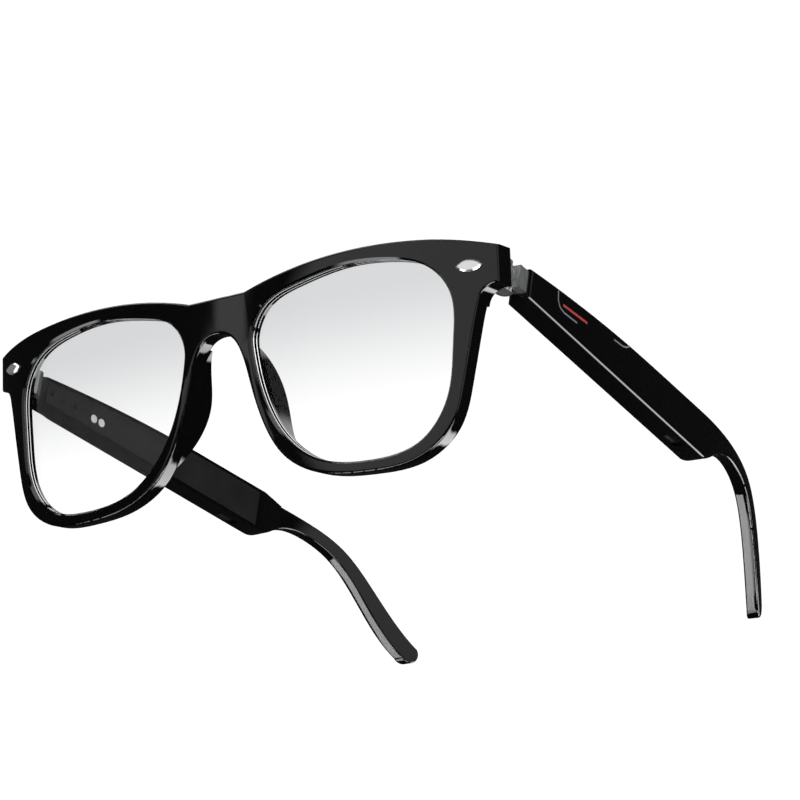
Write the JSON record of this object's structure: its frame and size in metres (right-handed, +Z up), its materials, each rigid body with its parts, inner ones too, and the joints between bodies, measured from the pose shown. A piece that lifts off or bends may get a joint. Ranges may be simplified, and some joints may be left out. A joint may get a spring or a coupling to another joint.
{
  "type": "smart glasses",
  "caption": "Full-rim glasses with folding temples that hold a battery, board, speaker and touch sensor.",
  "frame": {"origin": "centre of the footprint at the height of the table that the open glasses stand on", "axes": "+Z up, -Y the way the wearer looks, +X the wearer's left"},
  "size_m": [0.1496, 0.154, 0.0507],
  "materials": {
    "frame_gloss": "polished black",
    "lens_glass": "clear grey gradient tint",
    "rivet_metal": "polished",
    "hinge_metal": "satin nickel",
    "screw_metal": "satin",
    "cover_satin": "satin black",
    "screw_black": "black oxide",
    "contact_plate": "plated",
    "board_green": "solder mask",
    "battery_foil": "pouch foil",
    "speaker_case": "satin",
    "mesh_black": "matt",
    "foil_amber": "polyimide film",
    "can_metal": "satin",
    "grip_grey": "soft matt",
    "mark_print": "printed",
    "light_red": "translucent red"
  },
  "bodies": {
    "front": {"front_frame": "frame_gloss", "front_hinge_left": "hinge_metal", "front_hinge_right": "hinge_metal", "hinge_screw_left": "screw_metal", "hinge_screw_right": "screw_metal", "lens_left": "lens_glass", "lens_right": "lens_glass", "nose_pad_left": "frame_gloss", "nose_pad_right": "frame_gloss", "rivet_left": "rivet_metal", "rivet_right": "rivet_metal"},
    "temple_left": {"battery_left": "battery_foil", "charging_contacts_left": "contact_plate", "circuit_board_left": "board_green", "cover_screws_left": "screw_black", "ear_grip_left": "grip_grey", "microphone_left": "can_metal", "speaker_left": "speaker_case", "speaker_mesh_left": "mesh_black", "status_light": "light_red", "temple_cover_left": "cover_satin", "temple_hinge_left": "hinge_metal", "temple_shell_left": "frame_gloss", "touch_marks": "mark_print", "touch_sensor_left": "foil_amber"},
    "temple_right": {"battery_right": "battery_foil", "charging_contacts_right": "contact_plate", "circuit_board_right": "board_green", "cover_screws_right": "screw_black", "ear_grip_right": "grip_grey", "microphone_right": "can_metal", "speaker_mesh_right": "mesh_black", "speaker_right": "speaker_case", "temple_cover_right": "cover_satin", "temple_hinge_right": "hinge_metal", "temple_shell_right": "frame_gloss", "touch_sensor_right": "foil_amber"}
  },
  "joints": [
    {"name": "temple_left_fold", "type": "hinge", "parent": "front", "child": "temple_left", "pos_m": [0.0698, -0.06182, 0.04156], "axis": [0, 0.1253, 0.9921], "range_deg": [0, 82]},
    {"name": "temple_right_fold", "type": "hinge", "parent": "front", "child": "temple_right", "pos_m": [-0.0698, -0.06182, 0.04156], "axis": [0, -0.1253, -0.9921], "range_deg": [0, 50]}
  ]
}
